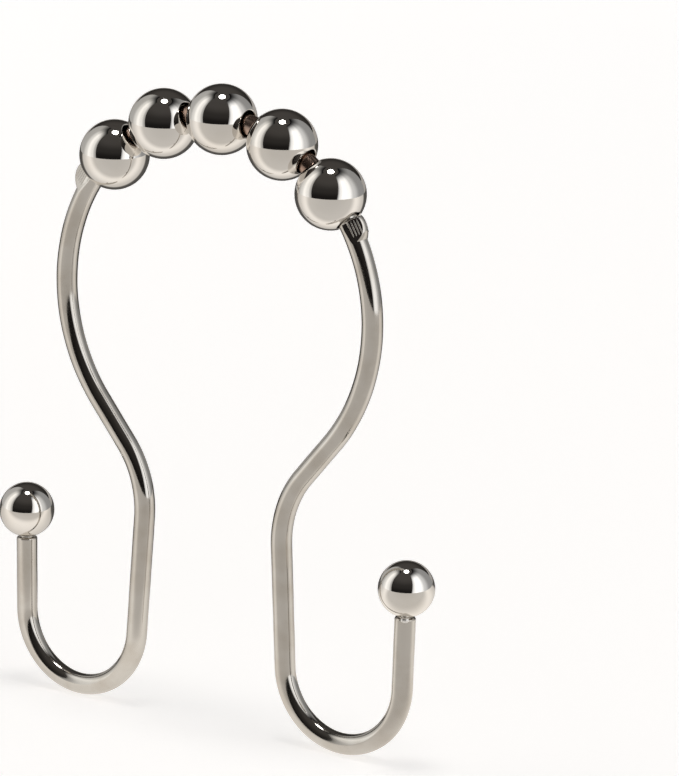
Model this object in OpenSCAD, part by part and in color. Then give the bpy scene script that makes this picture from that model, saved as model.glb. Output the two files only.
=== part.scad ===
// Double shower curtain hook of bent wire. Five balls run on its arch and roll on the rod, two outward
// hooks carry the curtain and its liner, and a fixed ball closes each tip. Millimetres. X runs across
// the hook's width, Y through its thickness and +Z up. The origin is where the rod's top meets the
// underside of the rollers.

/* [Wire] */
// Diameter of the wire
wire_d = 3; // [2.2:0.1:3.6]
// Radius of the arch, to the middle of the wire
arch_r = 26.5; // [24:0.5:32]
// Angle of the arch from its top to where each slanted side starts
arch_sweep = 130; // [124:1:136]
// Clear gap between the legs where they come closest
neck_gap = 21; // [16:0.5:26]
// Radius of the bend between slanted side and leg, to the middle of the wire
neck_bend_r = 15; // [8:0.5:20]
// How far each leg leans outwards on its way down, in degrees
leg_splay = 3.5; // [0:0.5:8]
// Length of the straight leg
leg_len = 17.5; // [12:0.5:24]

/* [Hooks] */
// Radius of each hook, to the middle of the wire
hook_r = 10; // [7:0.5:13]
// Length of each hook's straight outer side, up to the wire's end
tip_side_len = 10.5; // [6:0.1:16]
// How far each outer side leans outwards on its way up, in degrees
tip_lean = 1; // [0:0.5:8]
// Diameter of the fixed ball on each tip
tip_ball_d = 8; // [6.5:0.1:9.5]
// Diameter of the peg that carries the tip ball
peg_d = 1.9; // [1.4:0.1:2]
// How deep the peg sits in the tip ball
peg_depth = 3; // [2:0.1:4]
// Clearance around the peg in its hole, each side
peg_clearance = 0.01; // [0.01:0.01:0.05]
// Gap between the wire's end and the tip ball
tip_gap = 0.1; // [0.1:0.05:0.6]
// Chamfer round the wire's end
end_chamfer = 0.2; // [0.1:0.05:0.5]

/* [Rollers] */
// Diameter of each rolling ball
roller_d = 10; // [8:0.5:12]
// Diameter of the rolling ball's bore
roller_bore_d = 3.8; // [3.8:0.1:5]
// Width of the chamfer at each bore mouth
mouth_chamfer = 0.15; // [0.1:0.05:0.5]
// How far the rollers hang below the middle of the wire
roller_drop = 0.25; // [0.15:0.05:0.3]
// Gap between neighbouring rollers as they lie
roller_gap = 0.2; // [0.2:0.05:0.5]
// Gap between the third and the fourth roller as they lie
wide_gap = 0.6; // [0.2:0.05:1.5]
// Gap between each end roller and its ear
end_gap = 0.15; // [0.1:0.05:0.8]
// How far the row of rollers and its stops sit off the top of the arch, along the wire
row_shift = 0.5; // [0:0.1:1.5]

/* [Stops] */
// How deep the press flattened the wire at each stop
face_depth = 0.21; // [0.15:0.01:0.4]
// Slope of the pressed faces, which close towards the edge of the ear, in degrees
face_slope = 21; // [15:1:24]
// Length over which the pressed faces run out into the round wire
face_run_out = 2.3; // [1:0.1:3]
// Length of each ear where it leaves the round wire
ear_l = 4.2; // [3.6:0.1:5]
// How far the left ear stands out past the wire
left_ear_out = 1.5; // [0.9:0.1:1.6]
// How far the right ear stands out past the wire
right_ear_out = 1; // [0.9:0.1:1.6]
// How far the ears stand proud of the pressed faces
ear_step = 0.1; // [0.05:0.01:0.2]
// Distance from each end roller's bore mouth to the widest place of its ear
ear_offset = 1; // [0.6:0.1:2]
// Thickness of the ears' rim
rim_t = 0.4; // [0.2:0.1:0.6]

/* [Hidden] */
$fn = 40;
nickel = [0.83, 0.81, 0.78];
overcut = 1;
clearing = 0.01;

// Each bend is a hair slimmer than the straights, and reaches a little way into them
bend_d = wire_d - 0.06;
bend_reach = 0.2;

// The rollers' centres lie on their own circle, a little inside the wire's
roller_path_r = arch_r - roller_drop;
seat_r = roller_path_r - roller_d / 2;

// Angles along the arch, from its top towards +X
function chord_angle(chord) = 2 * asin(chord / 2 / roller_path_r);
roller_half_len = sqrt(pow(roller_d / 2, 2) - pow(roller_bore_d / 2, 2));
close_step = chord_angle(roller_d + roller_gap);
wide_step = chord_angle(roller_d + wide_gap);
row_half = (3 * close_step + wide_step) / 2;
row_middle = row_shift / arch_r * 180 / PI;
roller_steps = [0, close_step, 2 * close_step, 2 * close_step + wide_step, 3 * close_step + wide_step];
function roller_angle(index) = row_middle - row_half + roller_steps[index];
ear_angle = row_half + asin((roller_half_len + ear_offset) / arch_r);
ear_reach = wire_d / 2 + max(left_ear_out, right_ear_out);
ear_root = wire_d / 6;

// The right half of the wire as headings in degrees, 0 along +X and 90 upwards, and as points [x, z]
// measured from the middle of the arch
slant_heading = -arch_sweep;
leg_heading = leg_splay - 90;
tip_heading = 90 - tip_lean;
function along(heading) = [cos(heading), sin(heading)];
function left_of(heading) = [-sin(heading), cos(heading)];
arch_end = arch_r * [sin(arch_sweep), cos(arch_sweep)];
neck_x = neck_gap / 2 + wire_d / 2;
neck_bend_x = neck_x + neck_bend_r;
slant_len = (arch_end.x + neck_bend_r * left_of(slant_heading).x - neck_bend_x)
    / -along(slant_heading).x;
slant_end = arch_end + slant_len * along(slant_heading);
neck_middle = slant_end + neck_bend_r * left_of(slant_heading);
leg_start = neck_middle - neck_bend_r * left_of(leg_heading);
leg_end = leg_start + leg_len * along(leg_heading);
hook_middle = leg_end + hook_r * left_of(leg_heading);
hook_end = hook_middle - hook_r * left_of(tip_heading);
wire_end = hook_end + tip_side_len * along(tip_heading);
tip_ball_middle = wire_end + (tip_gap + tip_ball_d / 2) * along(tip_heading);

// Moves from the middle of the arch to the rod's seat
module from_arch_middle() {
    translate([0, 0, -seat_r]) children();
}

// Turns +Z towards a heading in the XZ plane, at a point [x, z]
module towards(point, heading) {
    translate([point.x, 0, point.y]) rotate([0, 90 - heading, 0]) children();
}

module straight(start, heading, length) {
    towards(start, heading) cylinder(h = length, d = wire_d);
}

// A round bend about a middle point, from one angle to another, counted from +X towards +Z
module bend(middle, radius, from_angle, to_angle) {
    reach_angle = bend_reach / radius * 180 / PI;
    translate([middle.x, 0, middle.y]) rotate([90, 0, 0]) rotate([0, 0, from_angle - reach_angle])
        rotate_extrude(angle = to_angle - from_angle + 2 * reach_angle, $fn = 120)
            translate([radius, 0]) circle(d = bend_d, $fn = 40);
}

// At a place on the arch, with +X along the wire, and +Z away from the arch's middle
module on_arch(angle, radius) {
    rotate([0, angle, 0]) translate([0, 0, radius]) children();
}

// What a press takes off one side's front and back. The end roller lies towards -X
module press_cut() {
    start_x = end_gap - ear_offset;
    run_out_y = face_depth + clearing;
    for (face = [0, 1])
        mirror([0, face, 0]) rotate([face_slope, 0, 0])
            translate([0, wire_d / 2 - face_depth, -ear_reach]) linear_extrude(2 * ear_reach)
                polygon([
                    [start_x, 0], [0, 0], [face_run_out, run_out_y],
                    [face_run_out, wire_d], [start_x, wire_d]
                ]);
}

// Half the ear's thickness at a distance outwards from the middle of the wire
function ear_y(out) = (wire_d / 2 - face_depth + ear_step - out * sin(face_slope)) / cos(face_slope);

// The metal that the press pushed outwards, a round lobe with a bevelled rim that thins outwards. It
// starts inside the wire
module ear(out) {
    lobe_r = (pow(ear_l / 2, 2) + pow(out, 2)) / (2 * out);
    bevel = (wire_d - rim_t) / 2;
    intersection() {
        translate([0, 0, wire_d / 2 + out - lobe_r]) rotate([90, 0, 0]) rotate_extrude()
            polygon([
                [0, -wire_d / 2], [lobe_r - bevel, -wire_d / 2], [lobe_r, -rim_t / 2],
                [lobe_r, rim_t / 2], [lobe_r - bevel, wire_d / 2], [0, wire_d / 2]
            ]);
        rotate([0, -90, 0]) translate([0, 0, -ear_l]) linear_extrude(2 * ear_l)
            polygon([
                [ear_root, ear_y(ear_root)], [ear_reach, ear_y(ear_reach)],
                [ear_reach, -ear_y(ear_reach)], [ear_root, -ear_y(ear_root)]
            ]);
    }
}

// Places a right-hand stop on the right with side 1, and its mirror image on the left with side -1
module on_side(side) {
    on_arch(row_middle + side * ear_angle, arch_r) mirror([side < 0 ? 1 : 0, 0, 0]) children();
}

// An ear with its end cut square beside the end roller's bore mouth
module stop(side, out) {
    difference() {
        on_side(side) ear(out);
        on_arch(row_middle + side * row_half, arch_r) mirror([side < 0 ? 1 : 0, 0, 0])
            translate([0, -wire_d, -wire_d])
                cube([roller_half_len + end_gap, 2 * wire_d, 3 * wire_d]);
    }
}

module half_wire() {
    straight(arch_end, slant_heading, slant_len);
    bend(neck_middle, neck_bend_r, 180 - (arch_sweep - 90), 180 + leg_splay);
    straight(leg_start, leg_heading, leg_len);
    bend(hook_middle, hook_r, 180 + leg_splay, 360 - tip_lean);
    towards(hook_end, tip_heading)
        rotate_extrude()
            polygon([
                [0, 0], [wire_d / 2, 0],
                [wire_d / 2, tip_side_len - end_chamfer], [wire_d / 2 - end_chamfer, tip_side_len],
                [peg_d / 2, tip_side_len], [peg_d / 2, tip_side_len + tip_gap + peg_depth],
                [0, tip_side_len + tip_gap + peg_depth]
            ]);
}

module hook_wire() {
    color(nickel) from_arch_middle() {
        difference() {
            bend([0, 0], arch_r, 90 - arch_sweep, 90 + arch_sweep);
            for (side = [-1, 1])
                on_side(side) press_cut();
        }
        stop(-1, left_ear_out);
        stop(1, right_ear_out);
        half_wire();
        mirror([1, 0, 0]) half_wire();
    }
}

// A ball with its bore along X
module roller(index) {
    mouth_x = roller_half_len - mouth_chamfer;
    color(nickel) from_arch_middle() on_arch(roller_angle(index), roller_path_r)
        difference() {
            sphere(d = roller_d);
            translate([-roller_d / 2 - overcut, 0, 0]) rotate([0, 90, 0])
                cylinder(h = roller_d + 2 * overcut, d = roller_bore_d);
            for (turn = [0, 180])
                rotate([0, 0, turn]) translate([mouth_x, 0, 0]) rotate([0, 90, 0])
                    cylinder(h = overcut, d1 = roller_bore_d, d2 = roller_bore_d + 2 * overcut);
        }
}

module tip_ball() {
    color(nickel) from_arch_middle() towards(tip_ball_middle, tip_heading)
        difference() {
            sphere(d = tip_ball_d);
            translate([0, 0, -tip_ball_d / 2 - overcut])
                cylinder(h = peg_depth + overcut + peg_clearance, d = peg_d + 2 * peg_clearance);
        }
}

module tip_ball_right() {
    tip_ball();
}

module tip_ball_left() {
    mirror([1, 0, 0]) tip_ball();
}

hook_wire();
tip_ball_left();
tip_ball_right();
roller(0);  // roller_1
roller(1);  // roller_2
roller(2);  // roller_3
roller(3);  // roller_4
roller(4);  // roller_5
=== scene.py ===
import math

import bmesh
import bpy
from mathutils import Matrix, Vector


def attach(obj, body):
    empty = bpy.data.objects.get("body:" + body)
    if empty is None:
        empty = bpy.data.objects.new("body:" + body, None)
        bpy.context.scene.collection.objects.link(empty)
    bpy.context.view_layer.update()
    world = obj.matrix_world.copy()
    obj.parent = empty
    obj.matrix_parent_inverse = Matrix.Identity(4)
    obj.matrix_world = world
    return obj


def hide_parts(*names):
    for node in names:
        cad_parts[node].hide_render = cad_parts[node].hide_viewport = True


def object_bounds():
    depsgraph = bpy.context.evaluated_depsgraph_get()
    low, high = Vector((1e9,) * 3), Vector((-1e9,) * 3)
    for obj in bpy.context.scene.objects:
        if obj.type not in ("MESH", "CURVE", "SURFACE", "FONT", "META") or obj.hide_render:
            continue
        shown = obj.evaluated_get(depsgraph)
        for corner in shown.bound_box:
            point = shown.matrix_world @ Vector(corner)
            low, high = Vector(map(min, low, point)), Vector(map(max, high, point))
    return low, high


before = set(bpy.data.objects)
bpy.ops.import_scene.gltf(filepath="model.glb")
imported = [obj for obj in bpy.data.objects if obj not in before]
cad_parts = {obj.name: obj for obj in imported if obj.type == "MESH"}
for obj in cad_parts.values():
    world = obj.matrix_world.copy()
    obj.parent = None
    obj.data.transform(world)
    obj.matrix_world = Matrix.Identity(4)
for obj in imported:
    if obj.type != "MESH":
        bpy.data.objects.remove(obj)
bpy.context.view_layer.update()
mm = 0.001
weldDistance = 0.0005 * mm
print("frame loaded")

# The wire's line, from the top of the arch down one side, as straights and round bends
wireLook = {
    "diameter": 3.0 * mm,
    "archRadius": 26.5 * mm,
    "archSweep": 130.0,  # degrees from the top
    "neckGap": 21.0 * mm,
    "neckBendRadius": 15.0 * mm,
    "legSplay": 3.5,
    "legLength": 17.5 * mm,
    "hookRadius": 10.0 * mm,
    "sideLength": 10.5 * mm,
    "tipLean": 1.0,
    "endRound": 0.18 * mm,
    "endRings": 5,
    "pegDiameter": 1.9 * mm,
    "pegLength": 3.1 * mm,
    "pegFoot": 0.04 * mm,  # height and flare of the small foot round each peg
    "pegFlare": 1.1,
    "ringSegments": 72,
    "stepLength": 0.35 * mm,
    "drawRipple": 0.012 * mm,  # how far the drawn wire wanders from a true cylinder
    "rippleTurn": 0.9,  # radians for each millimetre
}

stopLook = {
    "faceDepth": 0.21 * mm,
    "faceSlope": 21.0,  # degrees
    "faceRunOut": 2.3 * mm,
    "earLength": 4.2 * mm,
    "earOut": {-1: 1.5 * mm, 1: 1.0 * mm},  # on the left and on the right
    "earStep": 0.1 * mm,
    "earRoot": 0.5 * mm,
    "earOffset": 1.0 * mm,  # from the end roller's bore mouth to the widest place
    "earEase": 0.16 * mm,  # how softly the ear starts beside the ball
    "faceEase": 0.1 * mm,
    "rootEase": 0.12 * mm,
    "fineFrom": -2.2 * mm,  # where the wire's rings are closer together
    "fineTo": 2.8 * mm,
    "stepLength": 0.05 * mm,
    "ribPitch": 0.42 * mm,
    "ribWidth": 0.22 * mm,
    "ribHeight": 0.07 * mm,
    "ribStart": 0.15 * mm,  # from the ear's root to the first rib
    "ribFrom": -0.85 * mm,  # the ribs' ends along the wire, from the ear's widest place
    "ribTo": 1.45 * mm,
}

rollerLook = {
    "diameter": 10.0 * mm,
    "bore": 3.8 * mm,
    "mouthRound": 0.14 * mm,
    "drop": 0.25 * mm,
    "closeGap": 0.2 * mm,
    "wideGap": 0.6 * mm,
    "endGap": 0.15 * mm,
    "rowShift": 0.5 * mm,
    "spinSteps": 128,
}

tipLook = {
    "bead": (0.6 * mm, 0.4 * mm, 0.42 * mm),  # half its width, thickness and height
    "beadTurn": 32.0,  # degrees from the front, round the wire
    "diameter": 8.0 * mm,
    "bore": 1.92 * mm,
    "mouthRound": 0.22 * mm,
    "gap": 0.1 * mm,
    "pegDepth": 3.0 * mm,
    "pegEndGap": 0.05 * mm,
    "spinSteps": 112,
}

rollerPathRadius = wireLook["archRadius"] - rollerLook["drop"]
archMiddle = Vector((0, 0, rollerLook["diameter"] / 2 - rollerPathRadius))


def along(heading):
    angle = math.radians(heading)
    return Vector((math.cos(angle), 0, math.sin(angle)))


def leftOf(heading):
    angle = math.radians(heading)
    return Vector((-math.sin(angle), 0, math.cos(angle)))


def rollerAngles():  # degrees from the top of the arch towards +X
    def step(gap):
        chord = rollerLook["diameter"] + gap
        return math.degrees(2 * math.asin(chord / 2 / rollerPathRadius))

    close, wide = step(rollerLook["closeGap"]), step(rollerLook["wideGap"])
    halfRow = (3 * close + wide) / 2
    middle = math.degrees(rollerLook["rowShift"] / wireLook["archRadius"])
    places = [0, close, 2 * close, 2 * close + wide, 3 * close + wide]
    return [middle - halfRow + place for place in places], middle, halfRow


angles, rowMiddle, halfRow = rollerAngles()
boreHalf = math.sqrt((rollerLook["diameter"] / 2) ** 2 - (rollerLook["bore"] / 2) ** 2)
earAngle = halfRow + math.degrees(math.asin((boreHalf + stopLook["earOffset"]) / wireLook["archRadius"]))


def halfLine():  # (length, radius) of each stretch, from the top of the arch to the wire's end
    sweep, splay = wireLook["archSweep"], wireLook["legSplay"]
    neckX = wireLook["neckGap"] / 2 + wireLook["diameter"] / 2
    archEnd = wireLook["archRadius"] * math.sin(math.radians(sweep))
    bendShare = wireLook["neckBendRadius"] * (1 - leftOf(-sweep).x)
    slant = (archEnd - bendShare - neckX) / -along(-sweep).x
    neckTurn = sweep - 90 + splay
    hookTurn = 180 - splay - wireLook["tipLean"]

    def bend(radius, turn):
        return radius * math.radians(abs(turn)), math.copysign(radius, turn)

    return [
        bend(wireLook["archRadius"], -sweep),
        (slant, 0),
        bend(wireLook["neckBendRadius"], neckTurn),
        (wireLook["legLength"], 0),
        bend(wireLook["hookRadius"], hookTurn),
        (wireLook["sideLength"], 0),
    ]


def lineAt(distance):  # point and heading at a distance along the right half
    point = archMiddle + Vector((0, 0, wireLook["archRadius"]))
    heading = 0.0
    for length, radius in halfLine():
        step = min(distance, length)
        if radius:
            turn = math.degrees(step / radius)
            middle = point + radius * leftOf(heading)
            heading += turn
            point = middle - radius * leftOf(heading)
        else:
            point = point + step * along(heading)
        distance -= step
        if distance <= 0:
            break
    return point, heading


halfLength = sum(length for length, radius in halfLine())
stopPlaces = {side: math.radians(rowMiddle + side * earAngle) * wireLook["archRadius"]
              for side in (-1, 1)}


def smoothStep(value):
    value = max(0.0, min(1.0, value))
    return value * value * (3 - 2 * value)


def sideOf(distance):
    return -1 if distance < 0 else 1


def fromStop(distance):  # how far a place lies past its ear's middle, away from the rollers
    side = sideOf(distance)
    return side * (distance - stopPlaces[side])


def earLobe(side):  # how far the ear's round edge reaches from the wire's middle, and its radius
    earOut = stopLook["earOut"][side]
    lobeRadius = ((stopLook["earLength"] / 2) ** 2 + earOut ** 2) / (2 * earOut)
    return wireLook["diameter"] / 2 + earOut, lobeRadius


def wireSection(distance):  # the reach outwards, and the pressed faces' distance from the middle
    radius = wireLook["diameter"] / 2
    past = fromStop(distance)
    earEdge, lobeRadius = earLobe(sideOf(distance))
    reach = radius
    if abs(past) < stopLook["earLength"] / 2:
        lobe = earEdge - lobeRadius + math.sqrt(lobeRadius ** 2 - past ** 2)
        besideBall = smoothStep((past + stopLook["earOffset"]) / stopLook["earEase"] + 0.5)
        reach = radius + (lobe - radius) * besideBall
    faceStart = rollerLook["endGap"] - stopLook["earOffset"]
    faceEase = stopLook["faceEase"]
    if past < faceStart - faceEase or past > stopLook["faceRunOut"]:
        return reach, radius
    depth = stopLook["faceDepth"] * min(1.0, (stopLook["faceRunOut"] - past) / stopLook["faceRunOut"])
    return reach, radius - depth * smoothStep((past - faceStart) / faceEase + 1)


def wireStations():
    finest, widest = stopLook["stepLength"], wireLook["stepLength"]
    stations, distance = [], -halfLength
    while distance < halfLength:
        stations.append(distance)
        near = stopLook["fineFrom"] < fromStop(distance) < stopLook["fineTo"]
        distance += finest if near else widest
    return stations + [halfLength]


def sectionPoint(turn, reach, faceDistance):  # outwards, and through the hook's plane
    radius = wireLook["diameter"] / 2
    slope = math.radians(stopLook["faceSlope"])
    out, through = radius * math.cos(turn), radius * math.sin(turn)
    if out > 0:
        out *= reach / radius
    if faceDistance < radius or reach > radius:
        earFace = max(faceDistance, radius - stopLook["faceDepth"] + stopLook["earStep"])
        onEar = smoothStep((out - stopLook["earRoot"]) / stopLook["rootEase"] + 0.5)
        face = faceDistance + (earFace - faceDistance) * onEar
        most = (face - out * math.sin(slope)) / math.cos(slope)
        if abs(through) > most:
            through = math.copysign(most, through)
    return out, through


# The wire under the balls takes its own darker, browner material, which is painted shade for the narrow
# gaps between the balls
solderSlot, gapShadeSlot = 1, 2  # in the wire's list of materials


def makeWire():
    roundOff, pegScale = wireLook["endRound"], wireLook["pegDiameter"] / wireLook["diameter"]
    radius = wireLook["diameter"] / 2
    endSteps = []  # (push along the wire, scale of the section)
    for step in range(wireLook["endRings"] + 1):
        angle = math.pi / 2 * step / wireLook["endRings"]
        endSteps.append((-roundOff * (1 - math.sin(angle)), 1 - roundOff / radius * (1 - math.cos(angle))))
    endSteps += [(0, pegScale * wireLook["pegFlare"]), (wireLook["pegFoot"], pegScale),
                 (wireLook["pegLength"], pegScale)]
    inner = [place for place in wireStations() if abs(place) < halfLength - roundOff * 1.2]
    rings = [(-halfLength, push, scale) for push, scale in reversed(endSteps)]
    rings += [(place, 0, 1) for place in inner]
    rings += [(halfLength, push, scale) for push, scale in endSteps]

    mesh = bmesh.new()
    around = wireLook["ringSegments"]
    bmesh.ops.create_grid(mesh, x_segments=around, y_segments=len(rings) - 1, size=1)
    mesh.verts.ensure_lookup_table()
    for index, (distance, push, scale) in enumerate(rings):
        middle, heading = lineAt(abs(distance))
        middle += push * along(heading)
        outward = leftOf(heading)
        if distance < 0:
            middle.x, outward.x = -middle.x, -outward.x
        reach, faceDistance = wireSection(distance)
        ripple = math.sin(distance / mm * wireLook["rippleTurn"])
        wander = scale * (1 + wireLook["drawRipple"] / wireLook["diameter"] * ripple)
        for step in range(around + 1):
            out, through = sectionPoint(2 * math.pi * step / around, reach, faceDistance)
            spot = middle + outward * out * wander
            spot.y += through * wander
            mesh.verts[index * (around + 1) + step].co = spot
    bmesh.ops.remove_doubles(mesh, verts=mesh.verts, dist=weldDistance)
    bmesh.ops.holes_fill(mesh, edges=[edge for edge in mesh.edges if edge.is_boundary], sides=0)
    # The faces under the row of balls get the darker, browner material, which is painted shade for the
    # gaps between the balls
    for face in mesh.faces:
        fromMiddle = face.calc_center_median() - archMiddle
        angle = math.degrees(math.atan2(fromMiddle.x, fromMiddle.z))
        if fromMiddle.z > 0 and abs(angle - rowMiddle) < halfRow:
            face.material_index = gapShadeSlot
    wireFaces = set(mesh.faces)
    tip, heading = lineAt(halfLength)
    bead = (Matrix.Translation(tip) @ Matrix.Rotation(math.radians(tipLook["beadTurn"]), 4, "Z")
            @ Matrix.Translation((0, -radius, 0)) @ Matrix.Diagonal((*tipLook["bead"], 1)))
    bmesh.ops.create_uvsphere(mesh, u_segments=24, v_segments=12, radius=1, matrix=bead)
    for face in set(mesh.faces) - wireFaces:
        face.material_index = solderSlot
    addPressRibs(mesh)
    bmesh.ops.recalc_face_normals(mesh, faces=mesh.faces)
    return mesh


def addPressRibs(mesh):  # the ribs that the press left along both faces of each ear
    slope = math.radians(stopLook["faceSlope"])
    face = wireLook["diameter"] / 2 - stopLook["faceDepth"] + stopLook["earStep"]
    for side in (-1, 1):
        earEdge, lobeRadius = earLobe(side)
        out = stopLook["earRoot"] + stopLook["ribStart"]
        while out < earEdge - stopLook["ribPitch"]:
            halfChord = math.sqrt(lobeRadius ** 2 - (out - earEdge + lobeRadius) ** 2)
            ends = stopLook["ribFrom"], min(stopLook["ribTo"], halfChord - stopLook["ribWidth"])
            middle, heading = lineAt(abs(stopPlaces[side] + side * (ends[0] + ends[1]) / 2))
            lengthwise, outward = along(heading), leftOf(heading)
            for vector in (middle, lengthwise, outward):
                vector.x *= side
            for front in (-1, 1):
                through = Vector((0, front, 0))
                normal = outward * math.sin(slope) + through * math.cos(slope)
                across = outward * math.cos(slope) - through * math.sin(slope)
                spot = middle + outward * out + through * (face - out * math.sin(slope)) / math.cos(slope)
                turn = Matrix((across, normal, lengthwise)).transposed().to_4x4()
                halfLong = (ends[1] - ends[0]) / 2
                size = Matrix.Diagonal((stopLook["ribWidth"] / 2, stopLook["ribHeight"], halfLong, 1))
                bmesh.ops.create_uvsphere(mesh, u_segments=12, v_segments=20, radius=1,
                                          matrix=Matrix.Translation(spot) @ turn @ size)
            out += stopLook["ribPitch"]


def finishPiece(mesh, name, materials, sharpAngle=60.0):
    data = bpy.data.meshes.new(name)
    mesh.to_mesh(data)
    mesh.free()
    data.shade_smooth()
    data.set_sharp_from_angle(angle=math.radians(sharpAngle))
    for material in materials:
        data.materials.append(material)
    piece = bpy.data.objects.new(name, data)
    bpy.context.collection.objects.link(piece)
    return piece


def spinProfile(points, steps):  # points are (distance from the axis, height); the axis is +Z
    mesh = bmesh.new()
    verts = [mesh.verts.new((radius, 0, height)) for radius, height in points]
    edges = [mesh.edges.new(pair) for pair in zip(verts, verts[1:])]
    bmesh.ops.spin(mesh, geom=verts + edges, cent=(0, 0, 0), axis=(0, 0, 1), angle=2 * math.pi,
                   steps=steps, use_merge=True)
    bmesh.ops.remove_doubles(mesh, verts=mesh.verts, dist=weldDistance)
    bmesh.ops.recalc_face_normals(mesh, faces=mesh.faces)
    return mesh


def arcPoints(middle, radius, fromAngle, toAngle, steps):
    points = []
    for step in range(steps + 1):
        angle = math.radians(fromAngle + (toAngle - fromAngle) * step / steps)
        points.append((middle[0] + radius * math.cos(angle), middle[1] + radius * math.sin(angle)))
    return points


def mouthArc(ballRadius, boreRadius, roundRadius):  # rounds the edge between the bore and the ball
    middleX = boreRadius + roundRadius
    middleZ = math.sqrt((ballRadius - roundRadius) ** 2 - middleX ** 2)
    lean = math.degrees(math.atan2(middleZ, middleX))
    return arcPoints((middleX, middleZ), roundRadius, 180, lean, 10), lean


def makeRoller():
    ballRadius, boreRadius = rollerLook["diameter"] / 2, rollerLook["bore"] / 2
    mouth, lean = mouthArc(ballRadius, boreRadius, rollerLook["mouthRound"])
    outside = arcPoints((0, 0), ballRadius, lean, -lean, 72)[1:-1]
    lower = [(radius, -height) for radius, height in reversed(mouth)]
    bore = [(boreRadius, lower[-1][1] * share) for share in (0.75, 0.5, 0.25, 0, -0.25, -0.5, -0.75)]
    return spinProfile(mouth + outside + lower + bore + [mouth[0]], rollerLook["spinSteps"])


def makeTipBall():
    ballRadius, boreRadius = tipLook["diameter"] / 2, tipLook["bore"] / 2
    mouth, lean = mouthArc(ballRadius, boreRadius, tipLook["mouthRound"])
    outside = arcPoints((0, 0), ballRadius, 90, -lean, 72)[:-1]
    lower = [(radius, -height) for radius, height in reversed(mouth)]
    floor = -ballRadius + tipLook["pegDepth"] + tipLook["pegEndGap"]
    return spinProfile(outside + lower + [(boreRadius, floor), (0, floor)], tipLook["spinSteps"])


def metalMaterial(name, look):
    material = bpy.data.materials.new(name)
    material.use_nodes = True
    nodes, links = material.node_tree.nodes, material.node_tree.links
    shader = nodes["Principled BSDF"]
    shader.inputs["Metallic"].default_value = 1.0
    place = nodes.new("ShaderNodeTexCoord")

    def noise(scale, detail, stretch=(1, 1, 1)):
        mapping = nodes.new("ShaderNodeMapping")
        mapping.inputs["Scale"].default_value = stretch
        links.new(place.outputs["Object"], mapping.inputs["Vector"])
        texture = nodes.new("ShaderNodeTexNoise")
        texture.inputs["Scale"].default_value = scale
        texture.inputs["Detail"].default_value = detail
        links.new(mapping.outputs["Vector"], texture.inputs["Vector"])
        return texture.outputs["Fac"]

    def ramp(source, low, high, fromValue, toValue):
        ranger = nodes.new("ShaderNodeMapRange")
        ranger.inputs["From Min"].default_value = low
        ranger.inputs["From Max"].default_value = high
        ranger.inputs["To Min"].default_value = fromValue
        ranger.inputs["To Max"].default_value = toValue
        links.new(source, ranger.inputs["Value"])
        return ranger.outputs["Result"]

    smudge = noise(look["smudgeScale"], 3)
    rough = ramp(smudge, 0.45, 0.7, look["roughness"], look["smudgeRoughness"])
    tint = nodes.new("ShaderNodeMix")
    tint.data_type = "RGBA"
    tint.inputs["A"].default_value = (*look["color"], 1)
    tint.inputs["B"].default_value = (*look["warmColor"], 1)
    links.new(ramp(smudge, 0.4, 0.7, 0.0, 1.0), tint.inputs["Factor"])
    links.new(tint.outputs["Result"], shader.inputs["Base Color"])
    links.new(rough, shader.inputs["Roughness"])

    fine = noise(look["grainScale"], 4, look["grainStretch"])
    bump = nodes.new("ShaderNodeBump")
    bump.inputs["Strength"].default_value = look["grainBump"]
    bump.inputs["Distance"].default_value = look["grainDepth"]
    links.new(fine, bump.inputs["Height"])
    links.new(bump.outputs["Normal"], shader.inputs["Normal"])
    return material


nickelBall = metalMaterial("ballNickel", {
    "color": (0.80, 0.775, 0.74), "warmColor": (0.76, 0.725, 0.675),
    "roughness": 0.035, "smudgeRoughness": 0.075, "smudgeScale": 160.0,
    "grainScale": 900.0, "grainStretch": (1, 1, 1), "grainBump": 0.05, "grainDepth": 0.01 * mm,
})
# The wire's colour is darker than the balls'. In part this is painted shade for the shaded floor near the
# hook that the wire mirrors
wireMetal = {
    "color": (0.60, 0.575, 0.535), "warmColor": (0.53, 0.495, 0.445),
    "roughness": 0.09, "smudgeRoughness": 0.17, "smudgeScale": 220.0,
    "grainScale": 650.0, "grainStretch": (1, 1, 0.18), "grainBump": 0.12, "grainDepth": 0.012 * mm,
}
nickelWire = metalMaterial("wireNickel", wireMetal)
solder = metalMaterial("solderBead", wireMetal | {
    "color": (0.90, 0.89, 0.87), "warmColor": (0.84, 0.82, 0.79),
    "roughness": 0.4, "smudgeRoughness": 0.5,
})
# Under the balls the wire is darker and browner. The darkness is painted shade for the narrow gaps between
# the balls
gapShadeWire = metalMaterial("gapShadeWire", wireMetal | {
    "color": (0.46, 0.34, 0.28), "warmColor": (0.38, 0.265, 0.205),
    "roughness": 0.16, "smudgeRoughness": 0.24,
})
print("materials made")

wire = finishPiece(makeWire(), "hookWire", [nickelWire, solder, gapShadeWire])
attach(wire, "hook")
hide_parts("hook_wire")
print("wire made")

for number, angle in enumerate(angles, 1):
    mesh = makeRoller()
    turn = Matrix.Rotation(math.radians(angle), 4, "Y")
    spot = Matrix.Translation(archMiddle) @ turn @ Matrix.Translation((0, 0, rollerPathRadius))
    own = Matrix.Rotation(math.radians(90), 4, "Y")
    bmesh.ops.transform(mesh, matrix=spot @ own, verts=mesh.verts)
    roller = finishPiece(mesh, f"roller{number}", [nickelBall])
    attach(roller, f"roller_{number}")
    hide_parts(f"roller_{number}")
print("rollers made")

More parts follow.
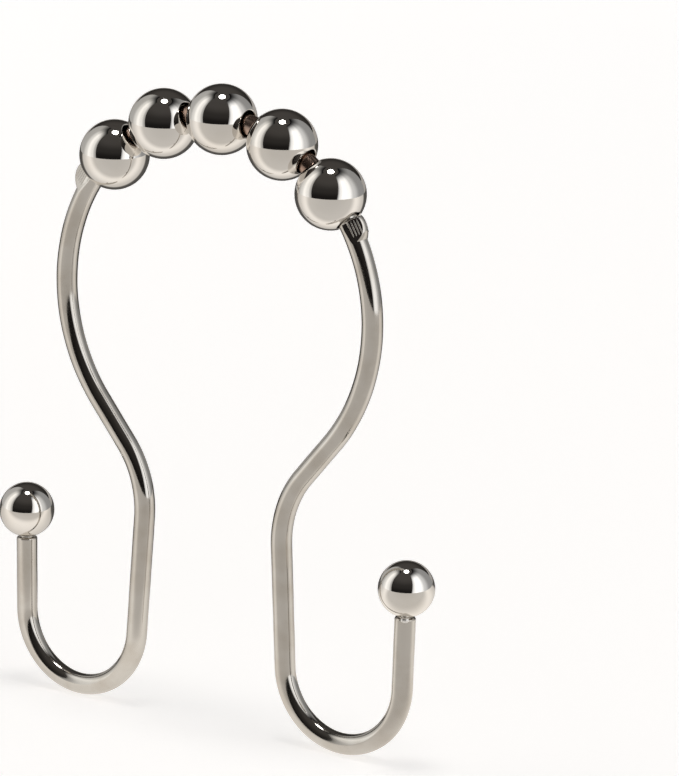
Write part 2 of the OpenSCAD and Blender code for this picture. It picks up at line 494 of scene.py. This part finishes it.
endPoint, endHeading = lineAt(halfLength)
for side, sideName in ((1, "right"), (-1, "left")):
    mesh = makeTipBall()
    centre = endPoint + (tipLook["gap"] + tipLook["diameter"] / 2) * along(endHeading)
    lean = Matrix.Rotation(math.radians(side * (90 - endHeading)), 4, "Y")
    spot = Matrix.Translation((side * centre.x, 0, centre.z)) @ lean
    bmesh.ops.transform(mesh, matrix=spot, verts=mesh.verts)
    tip = finishPiece(mesh, f"tipBall{sideName.capitalize()}", [nickelBall])
    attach(tip, "hook")
    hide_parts(f"tip_ball_{sideName}")
print("tip balls made")

cameraLook = {
    "azimuth": 34.41, "elevation": 13.63, "roll": 1.40,
    "distance": 750.0 * mm,
    "lookAt": Vector((0, 0, -34.75 * mm)),
    "slide": (-17.57 * mm, -1.14 * mm),
    "focalPixels": 5316.0,
    "longSidePixels": 776,
    "sensor": 36,
}


def cameraAxes():
    azimuth, elevation, roll = (math.radians(cameraLook[key]) for key in ("azimuth", "elevation", "roll"))
    level = math.cos(elevation)
    back = Vector((math.sin(azimuth) * level, -math.cos(azimuth) * level, math.sin(elevation)))
    right = Vector((math.cos(azimuth), math.sin(azimuth), 0))
    up = back.cross(right)
    tiltedRight = math.cos(roll) * right + math.sin(roll) * up
    tiltedUp = -math.sin(roll) * right + math.cos(roll) * up
    return tiltedRight, tiltedUp, back


right, up, back = cameraAxes()
cameraPlace = (cameraLook["lookAt"] - cameraLook["slide"][0] * right - cameraLook["slide"][1] * up
               + cameraLook["distance"] * back)
cameraData = bpy.data.cameras.new("camera")
cameraData.sensor_width = cameraLook["sensor"]
cameraData.lens = cameraLook["focalPixels"] * cameraLook["sensor"] / cameraLook["longSidePixels"]
cameraData.clip_end = 20
camera = bpy.data.objects.new("camera", cameraData)
camera.matrix_world = Matrix.Translation(cameraPlace) @ Matrix((right, up, back)).transposed().to_4x4()
bpy.context.collection.objects.link(camera)
bpy.context.scene.camera = camera
print("camera set")


# The studio: a pale floor, a pale backdrop, two tall soft boxes, a round lamp overhead and a dark room.
# A level list runs from -1 to 1, as (place, brightness)
studioLook = {
    "floorColor": (0.80, 0.765, 0.735),
    "floorRadius": 0.8,
    "floorDrop": 0.02 * mm,  # from the hook's lowest point
    "floorGlowFrom": 0.1,
    "floorGlow": (0.605, 0.81),  # near the hook and at the floor's edge
    "floorReflected": (1.0, 0.955, 0.90),
    "floorLevels": [  # from behind the hook to its front
        (-1, 0.08), (-0.66, 0.10), (-0.5, 0.70), (0.05, 1.05), (0.4, 0.66), (1, 0.60)],
    "roomColor": (1.0, 0.92, 0.86),
    "roomLevels": [(0, 0.012), (0.35, 0.03), (0.8, 0.065), (1, 0.065)],
    "roomRadius": 1.6,
    "backdropRise": 10.0,  # degrees from the floor to where the backdrop ends
    "restOfWorld": (0.35, 0.34, 0.33, 1),
}
# The soft boxes curve round the hook. Bearings and heights are in degrees, bearings from the photo's side,
# and the inner edge has one at its foot and one at its head. Levels run from 0 at the inner edge
leftBox = {
    "inner": (-59, -77), "outer": -150, "low": -12, "high": 72,
    "distance": 0.9, "headFade": (0.68, 1.0),
    "color": (1.0, 0.985, 0.955),
    "levels": [(0, 0.3), (0.04, 0.5), (0.17, 1.0), (0.34, 1.25), (0.5, 0.85), (0.7, 0.5), (1, 0.45)],
}
rightBox = {
    "inner": (20, 36), "outer": 135, "low": -12, "high": 72,
    "distance": 0.9, "headFade": (0.68, 1.0),
    "color": (0.985, 0.99, 1.0),
    "levels": [(0, 0.45), (0.07, 1.15), (0.17, 1.5), (0.35, 1.35), (0.5, 0.75), (0.74, 0.34), (1, 0.32)],
}
# The strip of backdrop that the hook's edges mirror, behind the floor
backdropStrip = {
    "inner": (100, 100), "outer": 260, "low": -12, "high": 11,
    "distance": 1.2, "headFade": (1.0, 1.5),
    "color": (0.42, 0.40, 0.38),
    "levels": [(0, 1.0), (1, 1.0)],
}
ceilingLamp = {"radius": 0.13, "elevation": 88, "distance": 0.95, "strength": 10.0}


def fromView(azimuth, elevation, distance):  # a point by its bearing from the hook; 0 is the photo's side
    bearing = math.radians(cameraLook["azimuth"] + azimuth)
    rise = math.radians(elevation)
    return cameraLook["lookAt"] + distance * Vector((
        math.sin(bearing) * math.cos(rise), -math.cos(bearing) * math.cos(rise), math.sin(rise)))


def levelRamp(nodes, links, source, levels):  # brightness by place, from a list of (place, brightness)
    ramp = nodes.new("ShaderNodeValToRGB")
    ramp.color_ramp.interpolation = "EASE"
    stops = ramp.color_ramp.elements
    while len(stops) < len(levels):
        stops.new(1.0)
    most = max(level for place, level in levels)
    for stop, (place, level) in zip(stops, levels):
        stop.position = place / 2 + 0.5
        stop.color = (level / most, level / most, level / most, 1)
    half = nodes.new("ShaderNodeMath")
    half.operation = "MULTIPLY_ADD"
    half.inputs[1].default_value = 0.5
    half.inputs[2].default_value = 0.5
    links.new(source, half.inputs[0])
    links.new(half.outputs["Value"], ramp.inputs["Fac"])
    full = nodes.new("ShaderNodeMath")
    full.operation = "MULTIPLY"
    full.inputs[1].default_value = most
    links.new(ramp.outputs["Color"], full.inputs[0])
    return full.outputs["Value"]


def bearingOf(nodes, links, towards):  # 1 at places towards a direction, -1 on the other side
    place = nodes.new("ShaderNodeTexCoord")
    unit = nodes.new("ShaderNodeVectorMath")
    unit.operation = "NORMALIZE"
    links.new(place.outputs["Object"], unit.inputs[0])
    along = nodes.new("ShaderNodeVectorMath")
    along.operation = "DOT_PRODUCT"
    along.inputs[1].default_value = towards
    links.new(unit.outputs["Vector"], along.inputs[0])
    return along.outputs["Value"]


def eitherRay(nodes, links, path, kinds):  # 1 where the ray is of one of the kinds
    found = path.outputs[kinds[0]]
    for kind in kinds[1:]:
        most = nodes.new("ShaderNodeMath")
        most.operation = "MAXIMUM"
        links.new(found, most.inputs[0])
        links.new(path.outputs[kind], most.inputs[1])
        found = most.outputs["Value"]
    return found


# A glow that the camera looks through
def glowMaterial(name, color, strength=1.0, source=None, levels=None, headFade=None):
    material = bpy.data.materials.new(name)
    material.use_nodes = True
    nodes, links = material.node_tree.nodes, material.node_tree.links
    nodes.clear()
    glow = nodes.new("ShaderNodeEmission")
    glow.inputs["Color"].default_value = (*color, 1)
    glow.inputs["Strength"].default_value = strength
    if source == "height":
        level = levelRamp(nodes, links, bearingOf(nodes, links, (0, 0, 1)), levels)
        links.new(level, glow.inputs["Strength"])
    if source == "across":
        cardMap = nodes.new("ShaderNodeUVMap")
        split = nodes.new("ShaderNodeSeparateXYZ")
        links.new(cardMap.outputs["UV"], split.inputs["Vector"])
        edge = nodes.new("ShaderNodeMapRange")
        edge.interpolation_type = "SMOOTHSTEP"
        edge.inputs["From Min"].default_value = headFade[1]
        edge.inputs["From Max"].default_value = headFade[0]
        links.new(split.outputs["Y"], edge.inputs["Value"])
        both = nodes.new("ShaderNodeMath")
        both.operation = "MULTIPLY"
        links.new(levelRamp(nodes, links, split.outputs["X"], levels), both.inputs[0])
        links.new(edge.outputs["Result"], both.inputs[1])
        links.new(both.outputs["Value"], glow.inputs["Strength"])
    clear = nodes.new("ShaderNodeBsdfTransparent")
    path = nodes.new("ShaderNodeLightPath")
    mix = nodes.new("ShaderNodeMixShader")
    out = nodes.new("ShaderNodeOutputMaterial")
    links.new(path.outputs["Is Camera Ray"], mix.inputs["Fac"])
    links.new(glow.outputs["Emission"], mix.inputs[1])
    links.new(clear.outputs["BSDF"], mix.inputs[2])
    links.new(mix.outputs["Shader"], out.inputs["Surface"])
    return material


def stagePiece(mesh, name, material):
    data = bpy.data.meshes.new(name)
    mesh.to_mesh(data)
    mesh.free()
    data.materials.append(material)
    piece = bpy.data.objects.new(name, data)
    bpy.context.collection.objects.link(piece)
    return piece


def addSoftBox(name, box, steps=24):
    mesh = bmesh.new()
    mesh.loops.layers.uv.new("UVMap")
    bmesh.ops.create_grid(mesh, x_segments=steps, y_segments=steps, size=0.5, calc_uvs=True)
    for vert in mesh.verts:
        across, up = vert.co.x + 0.5, vert.co.y + 0.5
        inner = box["inner"][0] + (box["inner"][1] - box["inner"][0]) * up
        bearing = inner + (box["outer"] - inner) * across
        rise = box["low"] + (box["high"] - box["low"]) * up
        vert.co = fromView(bearing, rise, box["distance"])
    stagePiece(mesh, name, glowMaterial(name, box["color"], source="across", levels=box["levels"],
                                        headFade=box["headFade"]))


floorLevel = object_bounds()[0][2] - studioLook["floorDrop"]
addSoftBox("softBoxLeft", leftBox)
addSoftBox("softBoxRight", rightBox)
addSoftBox("backdropStrip", backdropStrip)
lamp = bmesh.new()
bmesh.ops.create_circle(lamp, cap_ends=True, segments=48, radius=ceilingLamp["radius"])
lampPlace = fromView(0, ceilingLamp["elevation"], ceilingLamp["distance"])
bmesh.ops.translate(lamp, vec=lampPlace, verts=lamp.verts)
stagePiece(lamp, "ceilingLamp", glowMaterial("ceilingLamp", (1, 1, 1), ceilingLamp["strength"]))

room = bmesh.new()
bmesh.ops.create_uvsphere(room, u_segments=64, v_segments=32, radius=studioLook["roomRadius"])
bmesh.ops.reverse_faces(room, faces=room.faces)
rise = math.radians(studioLook["backdropRise"])
toFront = Vector((back.x, back.y, 0)).normalized()
cutNormal = Vector((0, 0, 1)) * math.cos(rise) + toFront * math.sin(rise)
bmesh.ops.bisect_plane(room, geom=room.verts[:] + room.edges[:] + room.faces[:],
                       plane_co=(0, 0, floorLevel), plane_no=cutNormal, clear_inner=True)
stagePiece(room, "darkRoom", glowMaterial("darkRoom", studioLook["roomColor"], source="height",
                                          levels=studioLook["roomLevels"]))

floorMaterial = bpy.data.materials.new("floor")
floorMaterial.use_nodes = True
floorNodes, floorLinks = floorMaterial.node_tree.nodes, floorMaterial.node_tree.links
floorShader = floorNodes["Principled BSDF"]
floorShader.inputs["Base Color"].default_value = (*studioLook["floorColor"], 1)
floorShader.inputs["Roughness"].default_value = 0.7
floorShader.inputs["Emission Color"].default_value = (1, 1, 1, 1)
floorPath = floorNodes.new("ShaderNodeLightPath")
floorPlace = floorNodes.new("ShaderNodeTexCoord")
floorReach = floorNodes.new("ShaderNodeVectorMath")
floorReach.operation = "LENGTH"
floorLinks.new(floorPlace.outputs["Object"], floorReach.inputs[0])
floorGlow = floorNodes.new("ShaderNodeMapRange")
floorGlow.inputs["From Min"].default_value = studioLook["floorGlowFrom"]
floorGlow.inputs["From Max"].default_value = studioLook["floorRadius"]
floorGlow.inputs["To Min"].default_value = studioLook["floorGlow"][0]
floorGlow.inputs["To Max"].default_value = studioLook["floorGlow"][1]
floorLinks.new(floorReach.outputs["Value"], floorGlow.inputs["Value"])
floorSeen = floorNodes.new("ShaderNodeMath")
floorSeen.operation = "MULTIPLY"
floorLinks.new(floorPath.outputs["Is Camera Ray"], floorSeen.inputs[0])
floorLinks.new(floorGlow.outputs["Result"], floorSeen.inputs[1])
floorLinks.new(floorSeen.outputs["Value"], floorShader.inputs["Emission Strength"])
reflectedFloor = floorNodes.new("ShaderNodeEmission")
reflectedFloor.inputs["Color"].default_value = (*studioLook["floorReflected"], 1)
floorLinks.new(levelRamp(floorNodes, floorLinks, bearingOf(floorNodes, floorLinks, toFront),
                         studioLook["floorLevels"]), reflectedFloor.inputs["Strength"])
floorMix = floorNodes.new("ShaderNodeMixShader")
floorLinks.new(eitherRay(floorNodes, floorLinks, floorPath, ("Is Glossy Ray", "Is Transmission Ray")),
               floorMix.inputs["Fac"])
floorLinks.new(floorShader.outputs["BSDF"], floorMix.inputs[1])
floorLinks.new(reflectedFloor.outputs["Emission"], floorMix.inputs[2])
floorLinks.new(floorMix.outputs["Shader"], floorNodes["Material Output"].inputs["Surface"])
floorMesh = bmesh.new()
bmesh.ops.create_circle(floorMesh, cap_ends=True, segments=96, radius=studioLook["floorRadius"])
bmesh.ops.translate(floorMesh, vec=(0, 0, floorLevel), verts=floorMesh.verts)
stagePiece(floorMesh, "floor", floorMaterial)

world = bpy.data.worlds.new("studio")
bpy.context.scene.world = world
world.use_nodes = True
worldNodes, worldLinks = world.node_tree.nodes, world.node_tree.links
worldPath = worldNodes.new("ShaderNodeLightPath")
backdrop = worldNodes.new("ShaderNodeMix")
backdrop.data_type = "RGBA"
backdrop.inputs["A"].default_value = studioLook["restOfWorld"]
backdrop.inputs["B"].default_value = (1, 1, 1, 1)
whiteRays = ("Is Camera Ray", "Is Glossy Ray", "Is Transmission Ray")
worldLinks.new(eitherRay(worldNodes, worldLinks, worldPath, whiteRays), backdrop.inputs["Factor"])
worldLinks.new(backdrop.outputs["Result"], worldNodes["Background"].inputs["Color"])

bpy.context.scene.view_settings.view_transform = "Standard"
print("studio set")
